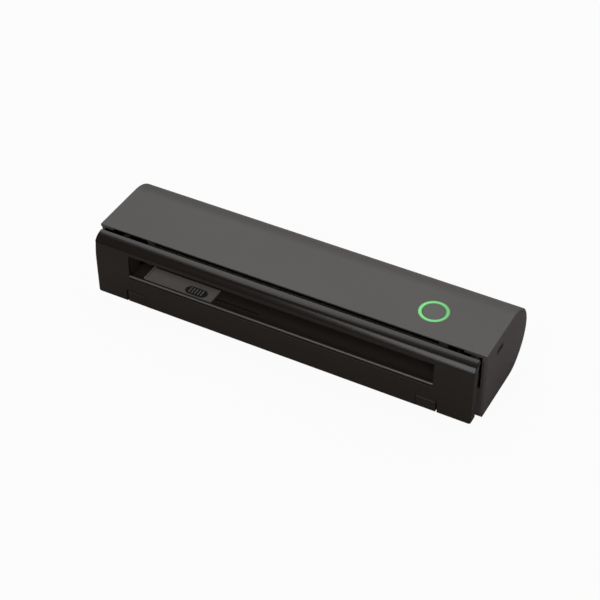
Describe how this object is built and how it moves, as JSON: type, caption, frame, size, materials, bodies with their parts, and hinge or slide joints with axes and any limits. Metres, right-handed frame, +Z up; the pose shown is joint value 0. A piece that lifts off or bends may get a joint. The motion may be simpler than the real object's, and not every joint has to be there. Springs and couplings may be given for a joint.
{
  "type": "a4 portable thermal printer",
  "caption": "Slim portable A4 thermal printer: D-shaped body, hinged front cover carrying the platen roller and paper mouth, sliding guide, top power button in a light ring, end socket.",
  "frame": {"origin": "under the middle of the whole printer, on the surface that its feet stand on", "axes": "+X along the body towards the socket's end, -Y towards the front cover, +Z up"},
  "size_m": [0.27, 0.0772, 0.0504],
  "materials": {
    "shell_plastic": "fine satin texture, warm dark grey",
    "end_plastic": "satin, warm dark grey, a little darker than the shell",
    "cover_plastic": "satin, near-black brown",
    "cap_plastic": "smooth satin gloss, dark grey",
    "trough_plastic": "satin, near-black",
    "guide_plastic": "satin, mid-dark grey",
    "pad_plastic": "matte black",
    "light_pipe": "translucent green light pipe",
    "button_plastic": "satin, warm grey",
    "black_rubber": "ground rubber, matte black",
    "foot_rubber": "moulded, matte",
    "plated_steel": "zinc plated sheet",
    "bright_steel": "ground bar",
    "spring_steel": "drawn wire",
    "screw_steel": "black zinc",
    "acetal_white": "moulded acetal, natural white",
    "acetal_black": "moulded acetal, black",
    "motor_steel": "plated can",
    "pinion_brass": "machined",
    "head_ceramic": "glazed alumina",
    "head_aluminium": "extruded, plain",
    "epoxy_black": "potting",
    "connector_plastic": "moulded, off-white",
    "cable_film": "flat flexible cable",
    "circuit_board": "green solder mask",
    "chip_plastic": "moulded packages",
    "socket_steel": "nickel-plated shell",
    "cell_wrap": "shrink sleeve",
    "nickel_strip": "nickel strip"
  },
  "bodies": {
    "printer_body": {"base_housing": "shell_plastic", "base_screws": "screw_steel", "battery_cell_left": "cell_wrap", "battery_cell_right": "cell_wrap", "battery_contacts": "nickel_strip", "battery_tray": "trough_plastic", "board_chips": "chip_plastic", "board_screws": "screw_steel", "chassis_screws": "screw_steel", "gear_clips": "spring_steel", "head_pivot_pin": "bright_steel", "hinge_brackets": "cover_plastic", "idler_post": "bright_steel", "left_end_cap": "end_plastic", "left_side_plate": "plated_steel", "light_ring": "light_pipe", "main_board": "circuit_board", "motor_screws": "screw_steel", "paper_chute": "trough_plastic", "paper_sensor": "chip_plastic", "reduction_post": "bright_steel", "right_end_cap": "end_plastic", "right_side_plate": "plated_steel", "rubber_feet": "foot_rubber", "spring_beam": "plated_steel", "status_leds": "connector_plastic", "stepper_motor": "motor_steel", "switch_body": "chip_plastic", "top_housing": "shell_plastic", "usb_port": "socket_steel"},
    "cover": {"front_cover": "cover_plastic", "hinge_lugs": "cover_plastic", "cover_cap": "cap_plastic", "paper_trough": "trough_plastic", "hinge_pins": "bright_steel", "platen_bushes": "acetal_black"},
    "guide": {"paper_guide": "guide_plastic", "guide_pad": "pad_plastic"},
    "platen": {"platen_roller": "black_rubber", "platen_shaft": "bright_steel", "platen_gear": "acetal_black"},
    "idler": {"idler_gear": "acetal_black"},
    "reduction": {"reduction_gear": "acetal_black"},
    "motor_rotor": {"motor_shaft": "bright_steel", "motor_pinion": "pinion_brass"},
    "head": {"head_heatsink": "head_aluminium", "head_ceramic": "head_ceramic", "head_driver_cover": "epoxy_black", "head_connector": "connector_plastic", "head_springs": "spring_steel", "head_flat_cable": "cable_film"},
    "button": {"power_button": "button_plastic", "switch_plunger": "acetal_black"}
  },
  "joints": [
    {"name": "cover_hinge", "type": "hinge", "parent": "printer_body", "child": "cover", "pos_m": [0, -0.03415, 0.0086], "axis": [1, 0, 0], "range_deg": [0, 80]},
    {"name": "guide_slide", "type": "slide", "parent": "cover", "child": "guide", "axis": [1, 0, 0], "range_m": [-0.009, 0.054]},
    {"name": "platen_spin", "type": "hinge", "parent": "cover", "child": "platen", "pos_m": [0, -0.02175, 0.0352], "axis": [1, 0, 0], "continuous": true},
    {"name": "idler_spin", "type": "hinge", "parent": "printer_body", "child": "idler", "pos_m": [-0.12, -0.00761, 0.02861], "axis": [1, 0, 0], "continuous": true},
    {"name": "reduction_spin", "type": "hinge", "parent": "printer_body", "child": "reduction", "pos_m": [-0.1227, 0.0055, 0.02431], "axis": [1, 0, 0], "continuous": true},
    {"name": "motor_spin", "type": "hinge", "parent": "printer_body", "child": "motor_rotor", "pos_m": [-0.113, 0.02007, 0.03141], "axis": [1, 0, 0], "continuous": true},
    {"name": "head_rock", "type": "hinge", "parent": "printer_body", "child": "head", "pos_m": [0, -0.01275, 0.0235], "axis": [1, 0, 0], "range_deg": [-2.5, 0], "stiffness_Nm_per_rad": 0.3, "springref_deg": 28.65, "deforming": ["head_springs", "head_flat_cable"]},
    {"name": "button_press", "type": "slide", "parent": "printer_body", "child": "button", "axis": [0, 0, -1], "range_m": [0, 0.0006], "stiffness_N_per_m": 40, "springref_m": -0.005}
  ],
  "couplings": [
    {"joint": "idler_spin", "follows": "platen_spin", "ratio": -0.73333},
    {"joint": "reduction_spin", "follows": "platen_spin", "ratio": 1.375},
    {"joint": "motor_spin", "follows": "platen_spin", "ratio": -3.9286}
  ]
}
